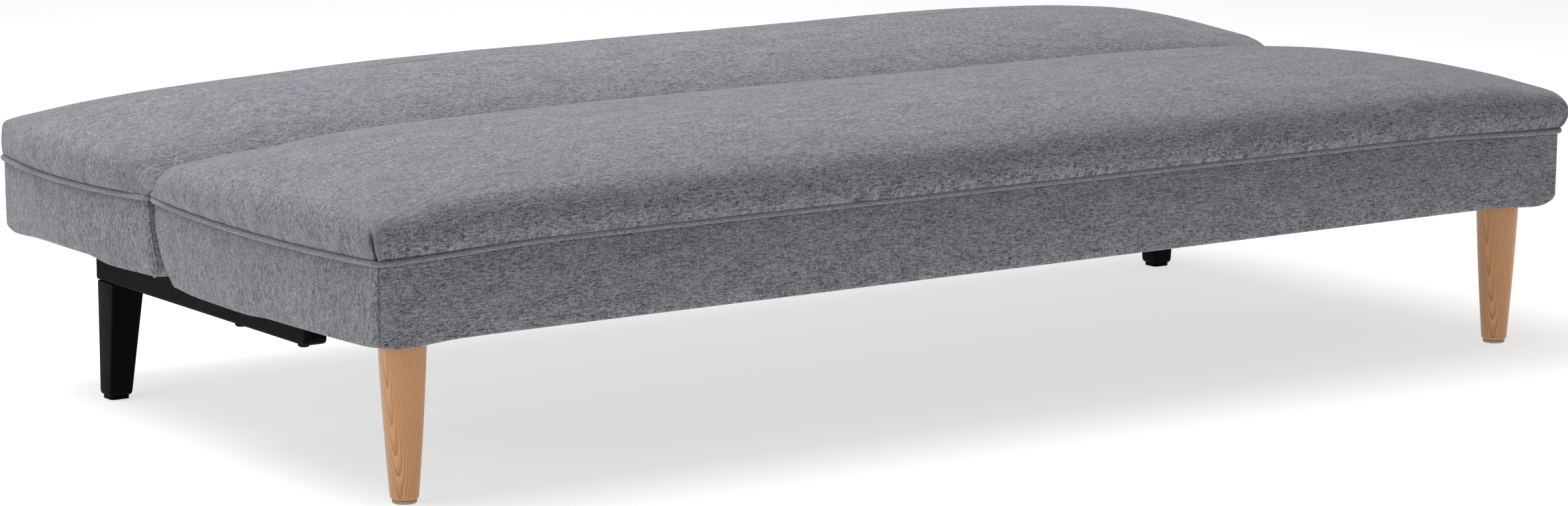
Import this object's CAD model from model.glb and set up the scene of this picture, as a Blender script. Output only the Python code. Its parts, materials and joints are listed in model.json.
import json
import math

import bmesh
import bpy
import numpy as np
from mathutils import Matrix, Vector, noise


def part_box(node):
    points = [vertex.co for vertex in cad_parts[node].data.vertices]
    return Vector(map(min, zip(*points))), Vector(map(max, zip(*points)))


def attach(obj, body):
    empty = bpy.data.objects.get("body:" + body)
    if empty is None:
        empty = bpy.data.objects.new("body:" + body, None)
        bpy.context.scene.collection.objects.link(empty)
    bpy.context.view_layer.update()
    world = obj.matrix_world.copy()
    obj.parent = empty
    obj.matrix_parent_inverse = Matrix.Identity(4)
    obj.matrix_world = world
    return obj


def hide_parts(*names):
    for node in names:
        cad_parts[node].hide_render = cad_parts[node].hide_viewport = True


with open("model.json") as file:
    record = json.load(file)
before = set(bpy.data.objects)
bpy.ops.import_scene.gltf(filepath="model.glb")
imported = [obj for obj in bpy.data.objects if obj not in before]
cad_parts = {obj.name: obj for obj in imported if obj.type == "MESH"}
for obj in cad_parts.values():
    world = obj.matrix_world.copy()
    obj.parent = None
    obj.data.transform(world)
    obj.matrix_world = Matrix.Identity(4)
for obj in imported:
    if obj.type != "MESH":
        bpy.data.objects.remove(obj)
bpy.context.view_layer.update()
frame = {"nodes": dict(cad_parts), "record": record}

ROOT = "seat_and_base"
BACK = "back_panel"

# ---------------------------------------------------------------- places, from the frame
seat_low, seat_high = [Vector(corner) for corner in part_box("seat_boxing")]
back_low, back_high = [Vector(corner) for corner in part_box("back_boxing")]
END_BOW = 0.012                                  # the ends bulge this far in the middle
X_END = seat_high.x - END_BOW                    # boxing corner, from the middle
SEAT_FRONT = seat_low.y
SEAT_REAR = seat_high.y
JUNCTION_WIDTH = 0.020                           # between the panels, at the seam
BACK_FRONT = SEAT_REAR + JUNCTION_WIDTH
BACK_REAR = back_high.y
SEAM = (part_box("seat_piping")[0][2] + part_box("seat_piping")[1][2]) / 2
SEAT_UNDER = seat_low.z
BACK_UNDER = back_low.z
SEAT_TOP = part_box("seat_pad")[1][2]
BACK_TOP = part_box("back_pad")[1][2]

# ---------------------------------------------------------------- shapes of the soft parts
SEAT_SLANT = 0.0475          # the seat's rear face leans forward towards its bottom
BACK_SLANT = 0.0300          # the back's front face leans the same way
BACK_TUCK_HEIGHT = 0.020
BACK_TUCK_DEPTH = 0.017
SEAM_RAISE = 0.0075          # the seam lifts away from the corners
SEAM_RAISE_RUN = 0.24
END_DROOP = 0.004            # and dips in the middle of each end
END_DROOP_RUN = 0.10
PIPE_RADIUS = 0.0038
PIPE_OUT = 0.0016            # the cord's middle stands this far outside the boxing
PIPE_SIDES = 12
EDGE_RADIUS = 0.008          # corner radius of the loops below the seam
HINGE_X = abs(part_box("left_hinge_pin")[0][0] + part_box("left_hinge_pin")[1][0]) / 2
HINGE_CLEAR = 0.013
HINGE_FADE = 0.010
TOUCH_RUN = 0.02             # how far from the junction side its swell reaches

CORNER_SEGMENTS = 8
LONG_SEGMENTS = 120
SHORT_SEGMENTS = 36


def smooth(value):
    value = min(max(value, 0.0), 1.0)
    return value * value * (3 - 2 * value)


class Panel:
    """The plan, seam and faces of one upholstered panel: the seat or the back."""

    def __init__(self, free_y, joint_y, under, top, slant):
        self.free_y = free_y              # the long side away from the junction
        self.joint_y = joint_y            # the long side at the junction
        self.under = under
        self.top = top
        self.slant = slant
        self.free_slope = SEAT_FREE_SLOPE
        self.corner_bulge = 0.8           # how much of the pad's swell its free corners keep
        self.tilt = 0.0                   # the crown is this much higher at the right end
        self.end_lift = 0.0               # the hem of the end rises this much near the free side
        self.rail_sag = 0.0               # and hangs this much over the base rail
        self.left_corner_lift = 0.0       # and the free side's lower corners turn up this much
        self.right_corner_lift = 0.0
        self.side = 1 if joint_y > free_y else -1
        self.depth = abs(joint_y - free_y)
        self.middle = (free_y + joint_y) / 2

    def end_share(self, y):
        """1 halfway along an end, 0 at its corners."""
        v = (y - self.middle) / (self.depth / 2)
        return max(0.0, 1 - v * v)

    def seam_z(self, x, y):
        from_end = max(0.0, X_END - abs(x))
        lift = SEAM_RAISE * smooth(from_end / SEAM_RAISE_RUN)
        droop = END_DROOP * self.end_share(y) * (1 - smooth(from_end / END_DROOP_RUN))
        return SEAM + lift - droop

    def joint_face(self, z):
        """How far the junction face at height z stands back from the seam's line."""
        share = (SEAM - min(z, SEAM)) / (SEAM - self.under)
        if self.side > 0:
            return self.slant * share
        tuck = max(0.0, 1 - (z - self.under) / BACK_TUCK_HEIGHT)
        return BACK_TUCK_DEPTH * tuck ** 2 - self.slant * share

    def plan(self, end_in, free_in, joint_in, radius, touch=0.0):
        """A loop of (x, y): the outline drawn in from its ends, free side and junction.

        touch moves the junction side out towards the other panel, clear of the hinges.
        """
        x = X_END - end_in
        free = self.free_y + self.side * free_in
        joint = self.joint_y - self.side * joint_in
        low, high = min(free, joint), max(free, joint)
        radius = min(radius, (high - low) / 2 - 0.001)
        corners = ((x, low, -90), (x, high, 0), (-x, high, 90), (-x, low, 180))
        steps = (SHORT_SEGMENTS, LONG_SEGMENTS, SHORT_SEGMENTS, LONG_SEGMENTS)
        arcs = []
        for cx, cy, start in corners:
            mx = cx - math.copysign(radius, cx)
            my = cy + radius if cy == low else cy - radius
            arcs.append([(mx + radius * math.cos(math.radians(start + 90 * i / CORNER_SEGMENTS)),
                          my + radius * math.sin(math.radians(start + 90 * i / CORNER_SEGMENTS)))
                         for i in range(CORNER_SEGMENTS + 1)])
        points = []
        for k, arc in enumerate(arcs):
            points.extend(arc)
            here, there = arc[-1], arcs[(k + 1) % 4][0]
            for i in range(1, steps[k]):
                share = i / steps[k]
                points.append((here[0] + (there[0] - here[0]) * share,
                               here[1] + (there[1] - here[1]) * share))
        bowed = []
        for px, py in points:
            px = px * (1 + END_BOW * self.end_share(py) / X_END)
            near_joint = smooth(1 - abs(py - joint) / TOUCH_RUN)
            if touch and near_joint > 0:
                py += self.side * touch * near_joint * hinge_gate(px)
            bowed.append((px, py))
        return bowed


def hinge_gate(x):
    """1 away from the hinge eyes, 0 beside them."""
    away = abs(abs(x) - HINGE_X)
    return smooth((away - HINGE_CLEAR) / HINGE_FADE)


# ---------------------------------------------------------------- mesh helpers
def mesh_object(name, bm, material, smooth_angle=None):
    bmesh.ops.recalc_face_normals(bm, faces=bm.faces)
    mesh = bpy.data.meshes.new(name)
    bm.to_mesh(mesh)
    bm.free()
    mesh.shade_smooth()
    if smooth_angle is not None:
        mesh.set_sharp_from_angle(angle=math.radians(smooth_angle))
    mesh.materials.append(material)
    obj = bpy.data.objects.new(name, mesh)
    bpy.context.scene.collection.objects.link(obj)
    return obj


def bridge(bm, rings, closed=False):
    """Quads between neighbouring rings; closed also joins the last ring to the first."""
    pairs = list(zip(rings, rings[1:]))
    if closed:
        pairs.append((rings[-1], rings[0]))
    for a, b in pairs:
        for i in range(len(a)):
            j = (i + 1) % len(a)
            bm.faces.new((a[i], a[j], b[j], b[i]))


def grid_solid(name, loops, material, closed=False, sewn=False):
    """A surface through loops of equal counts.

    closed joins the last loop to the first; sewn closes a panel's two end loops with
    rows of quads in place of flat caps.
    """
    bm = bmesh.new()
    rings = [[bm.verts.new(p) for p in loop] for loop in loops]
    bridge(bm, rings, closed)
    if not closed:
        for ring in (rings[0], rings[-1]):
            if sewn:
                sew_shut(bm, ring)
            else:
                bm.faces.new(ring)
    return mesh_object(name, bm, material)


def sew_shut(bm, ring):
    """Close a panel's long loop: the free side's points pair with the junction's."""
    corner = CORNER_SEGMENTS + 1
    count = len(ring)
    right = (corner + (SHORT_SEGMENTS - 1) // 2) % count
    half = count // 2
    for i in range(half):
        a = ring[(right + i) % count]
        b = ring[(right + i + 1) % count]
        c = ring[(right - i - 1) % count]
        d = ring[(right - i) % count]
        corners = []
        for vert in (a, b, c, d):
            if vert not in corners:
                corners.append(vert)
        if len(corners) > 2:
            bm.faces.new(corners)


def subdivide(obj):
    modifier = obj.modifiers.new("surface", "SUBSURF")
    modifier.levels = 1
    modifier.render_levels = 1
    apply_modifiers(obj)


def apply_modifiers(obj):
    graph = bpy.context.evaluated_depsgraph_get()
    evaluated = obj.evaluated_get(graph)
    mesh = bpy.data.meshes.new_from_object(evaluated, depsgraph=graph)
    obj.modifiers.clear()
    old = obj.data
    obj.data = mesh
    bpy.data.meshes.remove(old)


# ---------------------------------------------------------------- pads
# Each row is one contour of a pad: its height as a share of the crown, how far it is
# drawn in from the free side, the junction and the ends, its corner radius, and how
# much of the outward swell at the junction it takes. Rows above WALL_TOP only place
# the mesh: there the three slopes below give the height.
PAD_ROWS = (
    (0.00, -0.0026, 0.000, -0.0026, 0.007, 1.0),
    (0.05, -0.0062, 0.000, -0.0062, 0.007, 1.0),
    (0.12, -0.0090, 0.0010, -0.0095, 0.008, 1.0),
    (0.21, -0.0115, 0.005, -0.013, 0.009, 0.9),
    (0.31, -0.0120, 0.013, -0.0140, 0.010, 0.7),
    (0.41, -0.0100, 0.025, -0.0125, 0.012, 0.5),
    (0.50, -0.0055, 0.038, -0.0085, 0.015, 0.3),
    (0.58, 0.0020, 0.052, -0.0025, 0.020, 0.2),
    (0.66, 0.0130, 0.068, 0.0065, 0.028, 0.1),
    (0.73, 0.0270, 0.086, 0.0190, 0.038, 0.0),
    (0.79, 0.0430, 0.105, 0.0360, 0.052, 0.0),
    (0.84, 0.0610, 0.124, 0.0580, 0.070, 0.0),
    (0.885, 0.0820, 0.144, 0.090, 0.090, 0.0),
    (0.925, 0.1060, 0.165, 0.135, 0.105, 0.0),
    (0.955, 0.1320, 0.186, 0.200, 0.110, 0.0),
    (0.978, 0.1620, 0.207, 0.290, 0.100, 0.0),
    (0.992, 0.1940, 0.229, 0.400, 0.080, 0.0),
    (1.00, 0.2400, 0.260, 0.540, 0.040, 0.0),
)
WALL_TOP = 0.58
SEAT_FREE_SLOPE = ((0.002, 0.58), (0.013, 0.66), (0.027, 0.73), (0.043, 0.79), (0.061, 0.84),
                   (0.082, 0.885), (0.106, 0.925), (0.132, 0.955), (0.162, 0.978), (0.24, 1.0))
BACK_FREE_SLOPE = ((0.002, 0.58), (0.013, 0.63), (0.027, 0.675), (0.043, 0.715), (0.061, 0.76),
                   (0.082, 0.80), (0.106, 0.85), (0.132, 0.90), (0.162, 0.95), (0.20, 1.0))
JOINT_SLOPE = ((0.052, 0.58), (0.068, 0.66), (0.086, 0.73), (0.105, 0.79), (0.124, 0.84),
               (0.144, 0.885), (0.165, 0.925), (0.186, 0.955), (0.207, 0.978), (0.24, 1.0))
END_SLOPE = ((-0.0025, 0.58), (0.006, 0.62), (0.016, 0.66), (0.030, 0.70), (0.062, 0.755),
             (0.093, 0.795), (0.15, 0.85), (0.216, 0.90), (0.30, 0.94), (0.45, 0.98), (0.60, 1.0))
NOMINAL_DEPTH = 0.526        # the tables' distances are for a pad this deep
PAD_MARGIN = 0.020           # a panel's depth less its pad's
FLUSH_OUT = 0.0026           # where a cover held in fully would stand
PAD_FOOT = 0.0032            # the height shares start this far above the seam
JOINT_SWELL = 0.0072         # the pads nearly meet along the junction
CLOTH_PRESSURE = 4.0
CLOTH_FULLNESS = 0.012       # the cover is cut this much larger than the pad
CLOTH_FRAMES = 20
CLOTH_CAP = 0.0025           # no point keeps more of the simulated movement than this
CLOTH_SEWN_HEIGHT = 0.004    # the cover is held up to here above the seam
CLOTH_SEWN_FADE = 0.006
CLOTH_DART_CLEAR = 0.035     # no movement is kept this near a free corner
CLOTH_DART_FADE = 0.050
CREASE_DEPTH = 0.017
CREASE_TOP = 0.33            # height share where a dart starts to run out
CREASE_FADE = 0.10
CREASE_STEPS = ((1, 0.25), (2, 1.0), (3, 0.25), (-4, 0.25))    # points from the arc's middle, depth
SKIRT_DEPTH = 0.012          # the pad goes this far down inside the boxing
SKIRT_IN = 0.0105
SKIRT_NECK = 0.002
JOINT_DIP = 0.10             # both pads sink where the junction meets an end
JOINT_DIP_REACH = 0.20
JOINT_PINCH = 0.50           # and are pinched lower still at the very corner
JOINT_PINCH_REACH = 0.085
FREE_CORNER_DIP = 0.16       # the free side's corners are a little lower and rounder
FREE_CORNER_REACH = 0.11
FREE_HOLD_RUN = 0.14         # how far from a corner the cover is held in
JOINT_HOLD_RUN = 0.07
JOINT_HOLD_BULGE = 0.2       # share of the swell left at the junction's corners


def slope(table, distance):
    return float(np.interp(distance, [row[0] for row in table], [row[1] for row in table]))


def remainder(share):
    """How much of the rise above the wall a slope has made."""
    return (share - WALL_TOP) / (1 - WALL_TOP)


def crown_share(panel, x, y, scale):
    """Height share above the wall: the three slopes multiply, so corners stay soft."""
    from_end = X_END * (1 + END_BOW * panel.end_share(y) / X_END) - abs(x)
    from_free = abs(y - panel.free_y) / scale
    from_joint = abs(y - panel.joint_y) / scale
    rise = remainder(slope(END_SLOPE, from_end))
    rise *= remainder(slope(panel.free_slope, from_free))
    rise *= remainder(slope(JOINT_SLOPE, from_joint))
    return WALL_TOP + (1 - WALL_TOP) * max(rise, 0.0)


def joint_dip(panel, x, y, share):
    """A height share, less what the pad sinks near the junction's corners."""
    from_end = max(0.0, X_END - abs(x))
    away = math.hypot(from_end, abs(y - panel.joint_y))
    dip = JOINT_DIP * max(0.0, 1 - away / JOINT_DIP_REACH)
    pinch = JOINT_PINCH * max(0.0, 1 - away / JOINT_PINCH_REACH) ** 1.6
    return share * (1 - dip - pinch)


def corner_dip(panel, x, y):
    """How much of the crown is left near the free side's corners."""
    away = math.hypot(max(0.0, X_END - abs(x)), abs(y - panel.free_y))
    return 1 - FREE_CORNER_DIP * max(0.0, 1 - away / FREE_CORNER_REACH) ** 1.5


def corner_hold(panel, x, y):
    """1 away from the corners, less at them, where the cover is held in."""
    from_end = X_END - abs(x)
    from_free = max(from_end, abs(y - panel.free_y))
    from_joint = max(from_end, abs(y - panel.joint_y))
    free = panel.corner_bulge + (1 - panel.corner_bulge) * smooth(from_free / FREE_HOLD_RUN)
    joint = JOINT_HOLD_BULGE + (1 - JOINT_HOLD_BULGE) * smooth(from_joint / JOINT_HOLD_RUN)
    return min(free, joint)


def pad_loops(panel):
    """A pad's contours, from the skirt inside the boxing up to the middle of the crown."""
    scale = (panel.depth - PAD_MARGIN) / NOMINAL_DEPTH
    inside = [(x, y, panel.seam_z(x, y) - SKIRT_DEPTH)
              for x, y in panel.plan(SKIRT_IN, SKIRT_IN, SKIRT_IN + 0.004, EDGE_RADIUS)]
    neck_in = SKIRT_IN - SKIRT_NECK
    neck = [(x, y, panel.seam_z(x, y) - 0.001)
            for x, y in panel.plan(neck_in, neck_in, SKIRT_IN + SKIRT_NECK, EDGE_RADIUS)]
    loops = [inside, neck]
    for row_share, free_in, joint_in, end_in, radius, swell in PAD_ROWS:
        free_in = free_in if free_in < 0 else free_in * scale
        joint_in = joint_in * scale
        outline = panel.plan(end_in, free_in, joint_in, radius, JOINT_SWELL * swell)
        flush = panel.plan(max(end_in, -FLUSH_OUT), max(free_in, -FLUSH_OUT), joint_in, radius,
                           JOINT_SWELL * swell)
        loop = []
        for (x, y), (fx, fy) in zip(outline, flush):
            hold = corner_hold(panel, x, y)
            x, y = fx + (x - fx) * hold, fy + (y - fy) * hold
            crown = panel.top - SEAM - SEAM_RAISE + panel.tilt * x / X_END
            share = row_share if row_share <= WALL_TOP else crown_share(panel, x, y, scale)
            share = joint_dip(panel, x, y, share) * corner_dip(panel, x, y)
            z = panel.seam_z(x, y) + PAD_FOOT + (crown - PAD_FOOT) * share
            loop.append((x, y, z))
        loops.append(loop)
    return loops


def pad_cover(name, panel, node, body):
    loops = pad_loops(panel)
    crease_corners(panel, loops)
    obj = grid_solid(name, loops, FABRIC, sewn=True)
    store_weave(obj, panel, upright_ends=False)
    relax(obj, panel)
    subdivide(obj)
    settle(obj, panel)
    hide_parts(node)
    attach(obj, body)


def corner_starts():
    """Where each corner's arc begins in a plan loop: right-front, right-rear and so on."""
    corner = CORNER_SEGMENTS + 1
    return (0, corner + SHORT_SEGMENTS - 1,
            2 * corner + SHORT_SEGMENTS + LONG_SEGMENTS - 2,
            3 * corner + 2 * SHORT_SEGMENTS + LONG_SEGMENTS - 3)


def crease_corners(panel, loops):
    """A sewn dart at each corner of the free side: a deep slit and a narrow flap."""
    count = len(loops[0])
    for start in corner_starts():
        middle = start + CORNER_SEGMENTS // 2
        x, y = loops[2][middle][:2]
        if abs(y - panel.free_y) > 0.05:
            continue
        toward_end = -1 if abs(loops[2][start][0]) > abs(loops[2][start + CORNER_SEGMENTS][0]) else 1
        inward = Vector((-math.copysign(1, x), panel.side, 0)).normalized()
        for row, loop in enumerate(loops[2:]):
            share = PAD_ROWS[row][0]
            fade = 1 - smooth((share - CREASE_TOP) / CREASE_FADE)
            for step, depth in CREASE_STEPS:
                index = (middle + toward_end * step) % count
                point = Vector(loop[index]) + inward * CREASE_DEPTH * depth * fade
                loop[index] = tuple(point)


def vertex_array(obj, key):
    values = np.empty(len(obj.data.vertices) * 3)
    obj.data.vertices.foreach_get(key, values)
    return values.reshape(-1, 3)


def cover_cloth(obj):
    """The cloth settings of a cover: a fairly stiff fabric, blown up from inside."""
    cloth = obj.modifiers.new("cover", "CLOTH")
    settings = cloth.settings
    settings.quality = 5
    settings.mass = 0.4
    settings.tension_stiffness = 30.0
    settings.compression_stiffness = 30.0
    settings.shear_stiffness = 12.0
    settings.bending_stiffness = 0.6
    settings.air_damping = 2.0
    settings.use_pressure = True
    settings.uniform_pressure_force = CLOTH_PRESSURE
    settings.shrink_min = -CLOTH_FULLNESS
    settings.vertex_group_mass = "sewn"
    settings.effector_weights.gravity = 0.0
    cloth.collision_settings.use_collision = False
    cloth.point_cache.frame_start = 1
    cloth.point_cache.frame_end = CLOTH_FRAMES
    return cloth


def relax(obj, panel):
    """Let the cover swell and pucker as cloth under pressure, sewn down at its seam.

    The cover is cut a little large, so it gathers beside the seam. Only a capped part
    of the movement is kept, the broad swelling is taken off again, and the darts
    at the corners stay as sewn.
    """
    rest = vertex_array(obj, "co")
    sewn = obj.vertex_groups.new(name="sewn")
    for index, (x, y, z) in enumerate(rest):
        above = z - panel.seam_z(x, y)
        weight = 1.0 - smooth((above - CLOTH_SEWN_HEIGHT) / CLOTH_SEWN_FADE)
        if weight > 0:
            sewn.add([index], weight, "REPLACE")
    cloth = cover_cloth(obj)
    scene = bpy.context.scene
    scene.frame_set(0)
    bpy.context.view_layer.update()
    for step in range(1, CLOTH_FRAMES + 1):
        scene.frame_set(step)
    graph = bpy.context.evaluated_depsgraph_get()
    shift = vertex_array(obj.evaluated_get(graph), "co") - rest
    obj.modifiers.remove(cloth)
    obj.vertex_groups.remove(sewn)
    scene.frame_set(1)
    shift -= broad_swelling(panel, rest, vertex_array(obj, "normal"), shift)
    length = np.linalg.norm(shift, axis=1)
    from_corner = np.maximum(X_END - np.abs(rest[:, 0]), np.abs(rest[:, 1] - panel.free_y))
    open_share = np.clip((from_corner - CLOTH_DART_CLEAR) / CLOTH_DART_FADE, 0.0, 1.0)
    shift *= (CLOTH_CAP * open_share / (length + CLOTH_CAP))[:, None]
    obj.data.vertices.foreach_set("co", (rest + shift).ravel())
    obj.data.update()


def broad_swelling(panel, rest, normals, shift):
    """The part of the movement that a low polynomial over the panel accounts for."""
    along = (shift * normals).sum(axis=1)
    free = rest[:, 2] > SEAM + 0.010
    across = rest[:, 0] / X_END
    deep = (rest[:, 1] - panel.joint_y) / panel.depth
    terms = np.stack([across ** i * deep ** j for i in range(5) for j in range(5)], axis=1)
    swelling = terms @ np.linalg.lstsq(terms[free], along[free], rcond=None)[0]
    fade = np.clip((rest[:, 2] - SEAM - 0.006) / 0.012, 0.0, 1.0)
    return normals * (swelling * fade)[:, None]


def settle(obj, panel):
    """Small irregularities of stuffed fabric: faint ripples and a slack crown."""
    for vertex in obj.data.vertices:
        p = vertex.co
        above = p.z - SEAM
        if above < 0.004:
            continue
        broad = noise.noise(Vector((p.x * 2.2, p.y * 4.0, panel.side * 7.0)))
        fine = noise.noise(Vector((p.x * 9.0, p.y * 14.0, 3.0 + panel.side)))
        weight = smooth(above / 0.05)
        p.z += weight * (0.0016 * broad + 0.0005 * fine)


# ---------------------------------------------------------------- boxing
# Rows of the boxing: height as a share from the bottom edge to the seam, how far it
# stands out, and its corner radius.
BOXING_ROWS = (
    (0.035, -0.0008, 0.008),
    (0.075, 0.0004, 0.009),
    (0.16, 0.0025, 0.010),
    (0.30, 0.0045, 0.010),
    (0.46, 0.0055, 0.010),
    (0.62, 0.0052, 0.010),
    (0.76, 0.0040, 0.009),
    (0.87, 0.0020, 0.008),
    (0.94, 0.0008, 0.007),
    (0.975, 0.0000, 0.007),
)
BOXING_FIRST_ROW = 3         # the bottom loops before these rows in boxing_loops
BOXING_BULGE = 0.15          # share of the swell left at the boxing's corners
BOXING_WALL_IN = 0.0078      # the inner face of the boxing
BOTTOM_IN = 0.0026           # the bottom edge is rounded in this far
HEM = 0.026
CORNER_SAG = 0.0045          # the bottom edge hangs lower near the corners
BOTTOM_LIFT = 0.0015
CORNER_SEAM_DEPTH = 0.0042


def bottom_z(panel, x, y):
    """Height of the boxing's bottom edge, which sags, lifts and turns up along its way."""
    from_end = max(0.0, X_END - abs(x))
    from_free = abs(y - panel.free_y)
    sag = CORNER_SAG * smooth(1 - abs(from_end - 0.035) / 0.07)
    over_rail = smooth((from_free - 0.235) / 0.06) * (1 - smooth((from_free - 0.43) / 0.08))
    sag += panel.rail_sag * over_rail
    lift = panel.end_lift * smooth(from_free / 0.14) * (1 - smooth((from_free - 0.24) / 0.08))
    lift *= 1 - smooth(from_end / 0.15)
    turned_up = panel.right_corner_lift if x > 0 else panel.left_corner_lift
    near = max(0.0, 1 - from_end / 0.028) * max(0.0, 1 - from_free / 0.045)
    lift += turned_up * near ** 2
    return panel.under + BOTTOM_LIFT * smooth(from_end / 0.2) - sag + lift


def boxing_loops(panel):
    """Round the boxing's section: the hem, out, up to the seam, and down its inner face."""
    loops = []
    for inset, rise in ((HEM, 0.0006), (0.014, 0.0004)):
        outline = panel_plan_at(panel, panel.under, inset, EDGE_RADIUS)
        loops.append([(x, y, panel.under + rise) for x, y in outline])
    outline = panel_plan_at(panel, panel.under, BOTTOM_IN, EDGE_RADIUS)
    loops.append([(x, y, bottom_z(panel, x, y)) for x, y in outline])
    for share, out, radius in BOXING_ROWS:
        z = panel.under + (SEAM - panel.under) * share
        outline = panel_plan_at(panel, z, -out, radius)
        flush = panel_plan_at(panel, z, 0.0, radius)
        loop = []
        for (x, y), (fx, fy) in zip(outline, flush):
            away = max(X_END - abs(x), abs(y - panel.free_y))
            hold = BOXING_BULGE + (1 - BOXING_BULGE) * smooth(away / FREE_HOLD_RUN)
            x, y = fx + (x - fx) * hold, fy + (y - fy) * hold
            low = bottom_z(panel, x, y)
            loop.append((x, y, low + (panel.seam_z(x, y) - low) * share))
        loops.append(loop)
    outline = panel_plan_at(panel, SEAM, 0.0065, 0.007)
    loops.append([(x, y, panel.seam_z(x, y) - 0.0012) for x, y in outline])
    outline = panel_plan_at(panel, SEAM, BOXING_WALL_IN, 0.007)
    loops.append([(x, y, panel.seam_z(x, y) - 0.0060) for x, y in outline])
    outline = panel_plan_at(panel, panel.under + 0.004, BOXING_WALL_IN, 0.007)
    loops.append([(x, y, panel.under + 0.004) for x, y in outline])
    outline = panel_plan_at(panel, panel.under + 0.0035, HEM, EDGE_RADIUS)
    loops.append([(x, y, panel.under + 0.0035) for x, y in outline])
    return loops


def panel_plan_at(panel, z, inset, radius):
    return panel.plan(inset, inset, inset + panel.joint_face(z), radius)


def boxing_cover(name, panel, node, body):
    loops = boxing_loops(panel)
    seam_corners(loops)
    obj = grid_solid(name, loops, FABRIC, closed=True)
    store_weave(obj, panel, upright_ends=True)
    subdivide(obj)
    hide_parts(node)
    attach(obj, body)


def seam_corners(loops):
    """The upright seams that join the boxing's strips at the four corners."""
    for start in corner_starts():
        middle = start + CORNER_SEGMENTS // 2
        for loop in loops[BOXING_FIRST_ROW:BOXING_FIRST_ROW + len(BOXING_ROWS)]:
            before = Vector(loop[middle - 1])
            after = Vector(loop[middle + 1])
            here = Vector(loop[middle])
            along = after - before
            inward = Vector((-along.y, along.x, 0)).normalized()
            loop[middle] = tuple(here + inward * CORNER_SEAM_DEPTH)


# ---------------------------------------------------------------- piping
def piping_cord(name, panel, node, body):
    """The cord along the seam, wrapped in the same cloth."""
    outline = panel.plan(-PIPE_OUT, -PIPE_OUT, 0.0045, 0.009)
    path = []
    for x, y in outline:
        corner = smooth((abs(x) - HINGE_X - HINGE_CLEAR) / 0.012)
        near = smooth(1 - abs(y - panel.joint_y) / 0.03)
        y += panel.side * 0.0082 * corner * near
        path.append(Vector((x, y, panel.seam_z(x, y))))
    count = len(path)
    bm = bmesh.new()
    rings = []
    for i in range(count):
        along = (path[(i + 1) % count] - path[i - 1]).normalized()
        outward = Vector((along.y, -along.x, 0.0)).normalized()
        upward = along.cross(outward).normalized()
        swell = 1 + 0.05 * noise.noise(path[i] * 40.0)
        ring = []
        for k in range(PIPE_SIDES):
            angle = 2 * math.pi * k / PIPE_SIDES
            offset = outward * math.cos(angle) + upward * math.sin(angle)
            ring.append(bm.verts.new(path[i] + offset * PIPE_RADIUS * swell))
        rings.append(ring)
    bridge(bm, rings, closed=True)
    obj = mesh_object(name, bm, PIPING)
    lengths = np.zeros(count + 1)
    for i in range(count):
        lengths[i + 1] = lengths[i] + (path[(i + 1) % count] - path[i]).length
    rounds = [divmod(index, PIPE_SIDES) for index in range(len(obj.data.vertices))]
    weave_points(obj, [(lengths[i], k * PIPE_RADIUS * 0.55, 0.0) for i, k in rounds])
    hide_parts(node)
    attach(obj, body)


# ---------------------------------------------------------------- weave coordinates
def weave_points(obj, places):
    layer = obj.data.attributes.new("weave", "FLOAT_VECTOR", "POINT")
    for index, place in enumerate(places):
        layer.data[index].vector = place


def store_weave(obj, panel, upright_ends):
    """Cloth coordinates in metres: x along the yarn's streaks, y across them.

    A pad's streaks run along the bed and on down its ends. On the boxing they run
    along the long sides, and upright on the end strips.
    """
    mesh = obj.data
    layer = mesh.attributes.new("weave", "FLOAT_VECTOR", "CORNER")
    for polygon in mesh.polygons:
        flat_end = abs(polygon.normal.x) > abs(polygon.normal.y)
        for index in polygon.loop_indices:
            vertex = mesh.vertices[mesh.loops[index].vertex_index]
            x, y, z = vertex.co
            drop = panel.top - z
            nx, ny = vertex.normal.x ** 2, vertex.normal.y ** 2
            if upright_ends:
                end_weight = 1.0 if flat_end else 0.0
                side_weight = 1.0 - end_weight
            else:
                end_weight = nx / (nx + ny + 0.02)
                side_weight = ny / (nx + ny + 0.02)
            along = x + math.copysign(drop * end_weight, x)
            across = y + math.copysign(drop * side_weight, y - panel.middle)
            layer.data[index].vector = (along, across, panel.side * 0.5)


# ---------------------------------------------------------------- materials
def node_material(name):
    material = bpy.data.materials.new(name)
    material.use_nodes = True
    tree = material.node_tree
    shader = tree.nodes["Principled BSDF"]
    return material, tree, shader


def add_node(tree, kind, **settings):
    node = tree.nodes.new(kind)
    for key, value in settings.items():
        setattr(node, key, value)
    return node


def set_inputs(node, values):
    for name, value in values.items():
        node.inputs[name].default_value = value


def scaled(tree, source, scale):
    node = add_node(tree, "ShaderNodeMapping")
    node.inputs["Scale"].default_value = scale
    tree.links.new(source, node.inputs["Vector"])
    return node.outputs["Vector"]


def noise_of(tree, vector, scale=1.0, detail=2.0, roughness=0.5):
    node = add_node(tree, "ShaderNodeTexNoise")
    set_inputs(node, {"Scale": scale, "Detail": detail, "Roughness": roughness})
    tree.links.new(vector, node.inputs["Vector"])
    return node.outputs["Fac"]


def ranged(tree, value, low, high, to_low=0.0, to_high=1.0):
    node = add_node(tree, "ShaderNodeMapRange")
    set_inputs(node, {"From Min": low, "From Max": high, "To Min": to_low, "To Max": to_high})
    tree.links.new(value, node.inputs["Value"])
    return node.outputs["Result"]


def math_of(tree, operation, a, b=None):
    node = add_node(tree, "ShaderNodeMath", operation=operation)
    for index, value in enumerate((a, b)):
        if value is None:
            continue
        if isinstance(value, (int, float)):
            node.inputs[index].default_value = value
        else:
            tree.links.new(value, node.inputs[index])
    return node.outputs["Value"]


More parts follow.
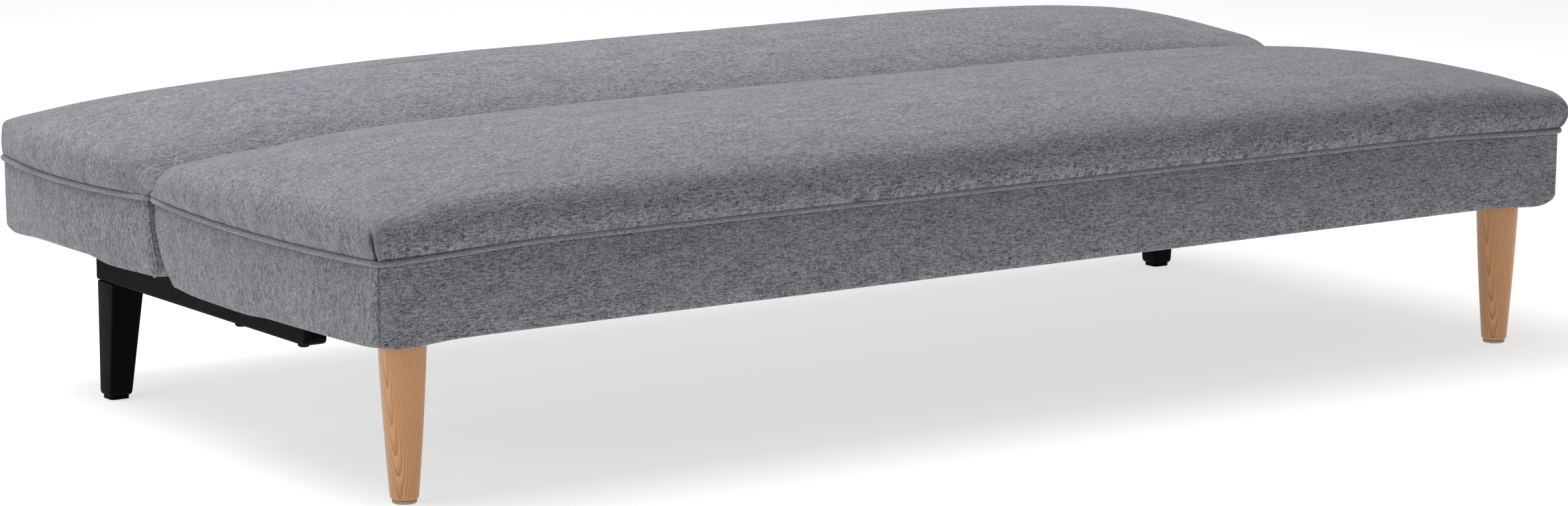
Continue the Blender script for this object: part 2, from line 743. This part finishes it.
def mixed(tree, factor, low, high):
    node = add_node(tree, "ShaderNodeMix", data_type="RGBA")
    tree.links.new(factor, node.inputs[0])
    for socket, value in ((node.inputs[6], low), (node.inputs[7], high)):
        if isinstance(value, tuple):
            socket.default_value = (*value, 1.0)
        else:
            tree.links.new(value, socket)
    return node.outputs[2]


def bumped(tree, shader, height, strength, distance):
    node = add_node(tree, "ShaderNodeBump")
    set_inputs(node, {"Strength": strength, "Distance": distance})
    tree.links.new(height, node.inputs["Height"])
    tree.links.new(node.outputs["Normal"], shader.inputs["Normal"])


def heather_cloth(name, dark, mid, light):
    """Heathered plain weave: short dark and pale streaks of slubby yarn along one way."""
    material, tree, shader = node_material(name)
    cloth = add_node(tree, "ShaderNodeAttribute", attribute_name="weave").outputs["Vector"]
    streaks = noise_of(tree, scaled(tree, cloth, (150.0, 900.0, 1.0)), 1.0, 1.0)
    flecks = noise_of(tree, scaled(tree, cloth, (420.0, 1250.0, 1.0)), 1.0, 1.0)
    warp = noise_of(tree, scaled(tree, cloth, (1250.0, 260.0, 1.0)), 1.0, 1.0)
    cloud = noise_of(tree, scaled(tree, cloth, (20.0, 60.0, 1.0)))
    tone = math_of(tree, "ADD", math_of(tree, "MULTIPLY", streaks, 0.36),
                   math_of(tree, "MULTIPLY", flecks, 0.32))
    tone = math_of(tree, "ADD", tone, math_of(tree, "MULTIPLY", warp, 0.24))
    tone = math_of(tree, "ADD", tone, math_of(tree, "MULTIPLY", cloud, 0.08))
    shade = ranged(tree, tone, 0.395, 0.485)
    bright = ranged(tree, tone, 0.495, 0.625)
    colour = mixed(tree, bright, mixed(tree, shade, dark, mid), light)
    tree.links.new(colour, shader.inputs["Base Color"])
    set_inputs(shader, {"Roughness": 0.92, "Specular IOR Level": 0.18, "Sheen Weight": 0.35,
                        "Sheen Roughness": 0.45, "Sheen Tint": (0.80, 0.80, 0.86, 1.0)})
    threads_x = wave_of(tree, cloth, "X", 0.0011)
    threads_y = wave_of(tree, cloth, "Y", 0.0011)
    weave = math_of(tree, "MULTIPLY", threads_x, threads_y)
    height = math_of(tree, "ADD", math_of(tree, "MULTIPLY", weave, 0.4), tone)
    bumped(tree, shader, height, 0.45, 0.0006)
    return material


def wave_of(tree, vector, axis, period):
    """Rounded ridges, one every period metres along a cloth axis."""
    node = add_node(tree, "ShaderNodeSeparateXYZ")
    tree.links.new(vector, node.inputs["Vector"])
    turned = math_of(tree, "MULTIPLY", node.outputs[axis], 2 * math.pi / period)
    return math_of(tree, "ABSOLUTE", math_of(tree, "SINE", turned))


def leg_wood(name, centre_x):
    """Pale wood whose growth rings are cut into long ovals by the leg's taper."""
    material, tree, shader = node_material(name)
    place = add_node(tree, "ShaderNodeTexCoord").outputs["Object"]
    shift = add_node(tree, "ShaderNodeMapping")
    shift.inputs["Location"].default_value = (-centre_x, -(SEAT_FRONT + 0.053), 0.0)
    tree.links.new(place, shift.inputs["Vector"])
    tilt = add_node(tree, "ShaderNodeMapping")
    set_inputs(tilt, {"Rotation": (0.10, 0.06, 0.5), "Location": (0.010, 0.034, 0.0)})
    tree.links.new(shift.outputs["Vector"], tilt.inputs["Vector"])
    wander = noise_of(tree, scaled(tree, tilt.outputs["Vector"], (26.0, 26.0, 9.0)))
    parts = add_node(tree, "ShaderNodeSeparateXYZ")
    tree.links.new(tilt.outputs["Vector"], parts.inputs["Vector"])
    square = math_of(tree, "ADD", math_of(tree, "MULTIPLY", parts.outputs["X"], parts.outputs["X"]),
                     math_of(tree, "MULTIPLY", parts.outputs["Y"], parts.outputs["Y"]))
    radius = math_of(tree, "SQRT", square)
    ring = math_of(tree, "ADD", math_of(tree, "MULTIPLY", radius, 430.0),
                   math_of(tree, "MULTIPLY", wander, 4.0))
    saw = math_of(tree, "FRACT", ring)
    late = ranged(tree, saw, 0.35, 1.0)
    pores = noise_of(tree, scaled(tree, shift.outputs["Vector"], (620.0, 620.0, 16.0)), 1.0, 1.0)
    pore_lines = ranged(tree, pores, 0.60, 0.78)
    patch = noise_of(tree, scaled(tree, shift.outputs["Vector"], (30.0, 30.0, 8.0)))
    base = mixed(tree, patch, (0.600, 0.285, 0.112), (0.700, 0.360, 0.150))
    grain = mixed(tree, math_of(tree, "MULTIPLY", late, 0.85), base, (0.360, 0.140, 0.045))
    colour = mixed(tree, math_of(tree, "MULTIPLY", pore_lines, 0.22), grain, (0.280, 0.115, 0.040))
    tree.links.new(colour, shader.inputs["Base Color"])
    tree.links.new(ranged(tree, pore_lines, 0.0, 1.0, 0.36, 0.55), shader.inputs["Roughness"])
    set_inputs(shader, {"Coat Weight": 0.15, "Coat Roughness": 0.25})
    bumped(tree, shader, late, 0.12, 0.0002)
    return material


def frame_timber(name):
    """Sawn softwood with straight grain."""
    material, tree, shader = node_material(name)
    place = add_node(tree, "ShaderNodeTexCoord").outputs["Object"]
    grain = noise_of(tree, scaled(tree, place, (6.0, 60.0, 160.0)), 1.0, 4.0, 0.6)
    saw = noise_of(tree, scaled(tree, place, (400.0, 40.0, 40.0)), 1.0, 1.0)
    colour = mixed(tree, ranged(tree, grain, 0.3, 0.7), (0.52, 0.36, 0.20), (0.70, 0.54, 0.34))
    tree.links.new(colour, shader.inputs["Base Color"])
    tree.links.new(ranged(tree, saw, 0.3, 0.7, 0.62, 0.8), shader.inputs["Roughness"])
    bumped(tree, shader, math_of(tree, "ADD", grain, saw), 0.4, 0.0006)
    return material


def coated_metal(name, colour, wear_colour, roughness, metallic, grain_scale, bump_strength,
                 specular=0.5):
    """Powder coat, moulded plastic or plated metal: speckle, faint clouding and grain."""
    material, tree, shader = node_material(name)
    place = add_node(tree, "ShaderNodeTexCoord").outputs["Object"]
    speckle = noise_of(tree, place, grain_scale, 2.0, 0.6)
    cloud = noise_of(tree, place, 14.0, 3.0, 0.6)
    tint = mixed(tree, math_of(tree, "MULTIPLY", ranged(tree, cloud, 0.35, 0.75), 0.5), colour, wear_colour)
    tree.links.new(tint, shader.inputs["Base Color"])
    set_inputs(shader, {"Metallic": metallic, "Specular IOR Level": specular})
    spread = math_of(tree, "ADD", ranged(tree, cloud, 0.3, 0.7, -0.04, 0.06), roughness)
    tree.links.new(spread, shader.inputs["Roughness"])
    bumped(tree, shader, speckle, bump_strength, 0.0003)
    return material


def plain_cloth(name, dark, light, cell):
    """Non-woven dust cloth or felt: a mat of pressed fibres with a dimple pattern."""
    material, tree, shader = node_material(name)
    place = add_node(tree, "ShaderNodeTexCoord").outputs["Object"]
    fibres = noise_of(tree, place, 900.0, 3.0, 0.7)
    dimples = add_node(tree, "ShaderNodeTexVoronoi")
    dimples.inputs["Scale"].default_value = 1.0 / cell
    tree.links.new(place, dimples.inputs["Vector"])
    dots = ranged(tree, dimples.outputs["Distance"], 0.15, 0.35)
    tone = math_of(tree, "MULTIPLY", ranged(tree, fibres, 0.3, 0.7), dots)
    tree.links.new(mixed(tree, tone, dark, light), shader.inputs["Base Color"])
    shader.inputs["Roughness"].default_value = 0.95
    bumped(tree, shader, tone, 0.5, 0.0004)
    return material


FABRIC = heather_cloth("heather_fabric", (0.060, 0.058, 0.068), (0.190, 0.187, 0.207),
                       (0.370, 0.365, 0.395))
PIPING = heather_cloth("heather_piping", (0.075, 0.073, 0.084), (0.215, 0.212, 0.232),
                       (0.390, 0.385, 0.415))
TIMBER = frame_timber("sawn_timber")
STEEL = coated_metal("black_powder_coat", (0.0020, 0.0020, 0.0032), (0.004, 0.004, 0.006), 0.55, 0.0,
                     1400.0, 0.25, specular=0.04)
PLASTIC = coated_metal("black_moulding", (0.0015, 0.0015, 0.0020), (0.003, 0.003, 0.004), 0.50, 0.0,
                       1800.0, 0.35, specular=0.04)
ZINC = coated_metal("zinc_plate", (0.56, 0.56, 0.55), (0.40, 0.40, 0.40), 0.32, 1.0, 700.0, 0.15)
WIRE = coated_metal("spring_wire", (0.26, 0.25, 0.24), (0.16, 0.15, 0.14), 0.38, 1.0, 900.0, 0.2)
RUBBER = coated_metal("bump_rubber", (0.018, 0.018, 0.018), (0.030, 0.030, 0.030), 0.80, 0.0, 1200.0, 0.5)
DUST_CLOTH = plain_cloth("dust_cloth", (0.006, 0.006, 0.006), (0.020, 0.020, 0.021), 0.004)
FELT = plain_cloth("pale_felt", (0.34, 0.29, 0.23), (0.55, 0.48, 0.39), 0.003)


# ---------------------------------------------------------------- cloth under the panels
HEM_LAP = 0.004              # the sheet's edge laps over the hem
CLOTH_THICKNESS = 0.0012
CLOTH_RISE = 0.0018          # the sheet's height above the bottom edge


def under_cloth(name, panel, node, body, material, sag):
    """A flat sheet stapled inside the hem, slack enough to hang a little in the middle."""
    inset = HEM - HEM_LAP
    half_x = X_END - inset
    free = panel.free_y + panel.side * inset
    joint = panel.joint_y - panel.side * (inset + panel.joint_face(panel.under))
    low, high = min(free, joint), max(free, joint)
    columns, rows = 72, 18
    bm = bmesh.new()
    verts = []
    for j in range(rows + 1):
        for i in range(columns + 1):
            u, v = i / columns, j / rows
            slack = sag * (4 * u * (1 - u)) ** 0.5 * 4 * v * (1 - v)
            ripple = 0.0008 * noise.noise(Vector((u * 14, v * 5, panel.side * 3.0)))
            edge = min(1.0, 8 * min(u, 1 - u, v * 2, 2 - 2 * v))
            reach = half_x + END_BOW * 4 * v * (1 - v)
            verts.append(bm.verts.new((-reach + 2 * reach * u, low + (high - low) * v,
                                       panel.under + CLOTH_RISE - slack - ripple * edge)))
    for j in range(rows):
        for i in range(columns):
            a = j * (columns + 1) + i
            bm.faces.new((verts[a], verts[a + 1], verts[a + columns + 2], verts[a + columns + 1]))
    obj = mesh_object(name, bm, material)
    weave_points(obj, [(vertex.co.x, vertex.co.y, 0.0) for vertex in obj.data.vertices])
    thicken = obj.modifiers.new("cloth", "SOLIDIFY")
    thicken.thickness = CLOTH_THICKNESS
    thicken.offset = 1.0
    apply_modifiers(obj)
    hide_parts(node)
    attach(obj, body)


# ---------------------------------------------------------------- edge seams at the junction
def edge_seams(name, panel, body):
    """The felled seams down the boxing's two edges that face the junction."""
    bm = bmesh.new()
    sides = 8
    loops = boxing_loops(panel)[BOXING_FIRST_ROW - 1:BOXING_FIRST_ROW + len(BOXING_ROWS)]
    for start in corner_starts():
        middle = start + CORNER_SEGMENTS // 2
        if abs(loops[0][middle][1] - panel.joint_y) > 0.09:
            continue
        path = [Vector(loop[middle]) for loop in loops]
        outward = Vector((math.copysign(1.0, path[0].x), panel.side, 0.0)).normalized()
        across = Vector((-outward.y, outward.x, 0.0))
        rings = []
        for point in path:
            wobble = 0.0004 * noise.noise(point * 55.0)
            centre = point - outward * (0.0008 + wobble)
            ring = [bm.verts.new(centre + (outward * math.cos(a) + across * math.sin(a)) * 0.0021)
                    for a in [2 * math.pi * k / sides for k in range(sides)]]
            rings.append(ring)
        bridge(bm, rings)
        bm.faces.new(rings[0])
        bm.faces.new(rings[-1])
    obj = mesh_object(name, bm, PIPING)
    weave_points(obj, [(vertex.co.z, vertex.co.y, 0.0) for vertex in obj.data.vertices])
    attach(obj, body)


# ---------------------------------------------------------------- front legs
def lathe(name, profile, centre, sides, material, smooth_angle=35):
    bm = bmesh.new()
    rings = []
    for radius, z in profile:
        rings.append([bm.verts.new((centre[0] + radius * math.cos(2 * math.pi * i / sides),
                                    centre[1] + radius * math.sin(2 * math.pi * i / sides), z))
                      for i in range(sides)])
    bridge(bm, rings)
    bm.faces.new(rings[0])
    bm.faces.new(rings[-1])
    return mesh_object(name, bm, material, smooth_angle)


def turned_leg(label):
    low, high = [Vector(corner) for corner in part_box(label + "_front_leg")]
    centre = ((low.x + high.x) / 2, (low.y + high.y) / 2)
    top = high.z
    foot = low.z
    top_radius = 0.0280
    foot_radius = 0.0168
    foot_ease = 0.0042
    profile = [(foot_radius - 0.0050, foot), (foot_radius - 0.0018, foot + 0.0006),
               (foot_radius - 0.0005, foot + 0.0020), (foot_radius, foot + foot_ease)]
    steps = 18
    for i in range(1, steps + 1):
        share = i / steps
        swell = 0.0009 * math.sin(math.pi * share)
        profile.append((foot_radius + (top_radius - foot_radius) * share + swell,
                        foot + foot_ease + (top - 0.004 - foot - foot_ease) * share))
    profile += [(top_radius - 0.0004, top - 0.002), (top_radius - 0.0016, top - 0.0004),
                (top_radius - 0.0030, top)]
    leg = lathe(label + "_turned_leg", profile, centre, 64, leg_wood(label + "_leg_wood", centre[0]))
    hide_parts(label + "_front_leg")
    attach(leg, ROOT)


# ---------------------------------------------------------------- rear legs and rail caps
def rounded_section(x_low, x_high, y_low, y_high, radius, z, steps=5):
    points = []
    corners = ((x_high, y_low, -90), (x_high, y_high, 0), (x_low, y_high, 90), (x_low, y_low, 180))
    for x, y, turn in corners:
        mx = x - radius if x == x_high else x + radius
        my = y + radius if y == y_low else y - radius
        for i in range(steps + 1):
            angle = math.radians(turn + 90 * i / steps)
            points.append((mx + radius * math.cos(angle), my + radius * math.sin(angle), z))
    return points


REAR_LEG_FOOT = 0.031
REAR_LEG_EDGE = 0.0035
CAP_LIP = 0.012              # what shows of the cap in front of the tube
CAP_SWEEP = 0.0115           # the nose's underside is rounded this much
CAP_SWEEP_ANGLES = (8, 25, 42, 58, 74, 90)
CAP_EDGE = 0.0030
CAP_NOSE_EASE = 0.004
CAP_PLUG_INSET = 0.0024


def moulded_rear_leg(label, sign):
    """A square leg that tapers on its inner and front faces, rounded in at the foot."""
    low, high = [Vector(corner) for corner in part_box(label + "_rear_leg")]
    outer = high.x if sign > 0 else low.x
    rear = high.y
    size_top = high.x - low.x
    levels = [(low.z, -0.0035), (low.z + 0.0010, -0.0015), (low.z + 0.0030, -0.0003),
              (low.z + 0.006, 0.0)]
    levels += [(low.z + 0.006 + (high.z - low.z - 0.012) * i / 8, 0.0) for i in range(1, 9)]
    levels += [(high.z - 0.003, 0.0), (high.z, 0.0)]
    loops = []
    for z, out in levels:
        share = (z - low.z) / (high.z - low.z)
        size = REAR_LEG_FOOT + (size_top - REAR_LEG_FOOT) * share
        x_a = outer + sign * out
        x_b = outer - sign * (size + out)
        loops.append(rounded_section(min(x_a, x_b), max(x_a, x_b), rear - size - out, rear + out,
                                     REAR_LEG_EDGE, z))
    leg = grid_solid(label + "_moulded_rear_leg", loops, PLASTIC)
    leg.data.set_sharp_from_angle(angle=math.radians(50))
    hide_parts(label + "_rear_leg")
    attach(leg, ROOT)


def moulded_rail_cap(label):
    """The rail's end cap, with a nose rounded up from below and a plug in the tube."""
    low, high = [Vector(corner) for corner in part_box(label + "_rail_cap")]
    stations = [(low.y + CAP_SWEEP * (1 - math.cos(math.radians(angle))),
                 CAP_SWEEP * (1 - math.sin(math.radians(angle)))) for angle in CAP_SWEEP_ANGLES]
    stations.append((low.y + CAP_LIP, 0.0))
    loops = []
    for y, lifted in stations:
        ease = CAP_EDGE * max(0.0, 1 - (y - low.y) / CAP_NOSE_EASE)
        section = rounded_section(low.x + ease, high.x - ease, low.z + lifted, high.z - ease,
                                  CAP_EDGE, y)
        loops.append([(x, depth, z) for x, z, depth in section])
    inset = CAP_PLUG_INSET
    for y in (low.y + CAP_LIP, high.y):
        section = rounded_section(low.x + inset, high.x - inset, low.z + inset, high.z - inset,
                                  CAP_EDGE * 0.7, y)
        loops.append([(x, depth, z) for x, z, depth in section])
    cap = grid_solid(label + "_moulded_rail_cap", loops, PLASTIC)
    cap.data.set_sharp_from_angle(angle=math.radians(40))
    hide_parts(label + "_rail_cap")
    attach(cap, ROOT)


# ---------------------------------------------------------------- CAD nodes that stay
def finish_nodes():
    """Give each node that stays its slot's material; the rear glides are black."""
    finishes = {
        "frame_timber": TIMBER, "spring_wire": WIRE, "black_tube": STEEL, "hinge_steel": STEEL,
        "zinc_fastener": ZINC, "black_moulding": PLASTIC, "bump_rubber": RUBBER,
        "felt_glide": FELT, "dust_cloth": DUST_CLOTH, "upholstery": FABRIC, "piping_fabric": PIPING,
        "black_fastener": STEEL,
    }
    slots = {part["node"]: part["material_slot"] for part in frame["record"]["subparts"]}
    for name, obj in frame["nodes"].items():
        material = PLASTIC if name.endswith("_rear_glide") else finishes.get(slots[name])
        if material is None:
            continue
        for slot in obj.material_slots:
            slot.material = material


# ---------------------------------------------------------------- camera, floor and light
LENS_MM = 105.114
SENSOR_MM = 36.0
CAMERA_AT = (-3.3729, -4.8427, 1.1692)
CAMERA_YAW = 34.70
CAMERA_PITCH = 9.87


def place_camera():
    data = bpy.data.cameras.new("camera")
    data.sensor_width = SENSOR_MM
    data.lens = LENS_MM
    data.clip_end = 60.0
    camera = bpy.data.objects.new("camera", data)
    camera.location = CAMERA_AT
    camera.rotation_euler = (math.radians(90 - CAMERA_PITCH), 0.0, math.radians(-CAMERA_YAW))
    bpy.context.scene.collection.objects.link(camera)
    bpy.context.scene.camera = camera


def stage_floor():
    bm = bmesh.new()
    bmesh.ops.create_grid(bm, x_segments=8, y_segments=8, size=14.0)
    material, tree, shader = node_material("pale_floor")
    set_inputs(shader, {"Base Color": (0.50, 0.50, 0.50, 1.0), "Roughness": 0.9,
                        "Specular IOR Level": 0.0, "Emission Color": (1.0, 1.0, 1.0, 1.0),
                        "Emission Strength": 0.66})
    floor = mesh_object("floor", bm, material)
    floor.location = (0.0, 0.0, -0.0005)


def area_light(name, place, target, size, power):
    data = bpy.data.lights.new(name, "AREA")
    data.shape = "RECTANGLE"
    data.size = size[0]
    data.size_y = size[1]
    data.energy = power
    lamp = bpy.data.objects.new(name, data)
    lamp.location = place
    direction = Vector(target) - Vector(place)
    lamp.rotation_euler = direction.to_track_quat("-Z", "Y").to_euler()
    bpy.context.scene.collection.objects.link(lamp)


def light_studio():
    world = bpy.data.worlds.new("studio")
    world.use_nodes = True
    background = world.node_tree.nodes["Background"]
    set_inputs(background, {"Color": (1.0, 1.0, 1.0, 1.0), "Strength": 0.27})
    bpy.context.scene.world = world
    area_light("overhead", (-0.6, 0.9, 3.4), (0.0, 0.1, 0.3), (4.2, 3.0), 178.0)
    area_light("left_fill", (-4.2, -0.4, 1.8), (-0.8, 0.0, 0.25), (2.0, 2.0), 19.0)
    bpy.context.scene.view_settings.view_transform = "Standard"


# ---------------------------------------------------------------- build
SEAT = Panel(SEAT_FRONT, SEAT_REAR, SEAT_UNDER, SEAT_TOP, SEAT_SLANT)
BACKREST = Panel(BACK_REAR, BACK_FRONT, BACK_UNDER, BACK_TOP, BACK_SLANT)
BACKREST.free_slope = BACK_FREE_SLOPE
BACKREST.corner_bulge = 0.15
BACKREST.tilt = 0.006
BACKREST.end_lift = 0.008
BACKREST.left_corner_lift = 0.009
BACKREST.right_corner_lift = 0.009
SEAT.left_corner_lift = 0.004
SEAT.rail_sag = 0.0035
SEAT.right_corner_lift = 0.013

pad_cover("seat_pad_cover", SEAT, "seat_pad", ROOT)
pad_cover("back_pad_cover", BACKREST, "back_pad", BACK)
boxing_cover("seat_boxing_cover", SEAT, "seat_boxing", ROOT)
boxing_cover("back_boxing_cover", BACKREST, "back_boxing", BACK)
piping_cord("seat_piping_cord", SEAT, "seat_piping", ROOT)
piping_cord("back_piping_cord", BACKREST, "back_piping", BACK)
under_cloth("seat_dust_cloth", SEAT, "seat_dust_cover", ROOT, DUST_CLOTH, 0.003)
under_cloth("back_outside_cloth", BACKREST, "back_outside_panel", BACK, FABRIC, 0.0012)
edge_seams("seat_edge_seams", SEAT, ROOT)
edge_seams("back_edge_seams", BACKREST, BACK)
for side_label, side_sign in (("left", -1), ("right", 1)):
    turned_leg(side_label)
    moulded_rear_leg(side_label, side_sign)
    moulded_rail_cap(side_label)
finish_nodes()
place_camera()
stage_floor()
light_studio()
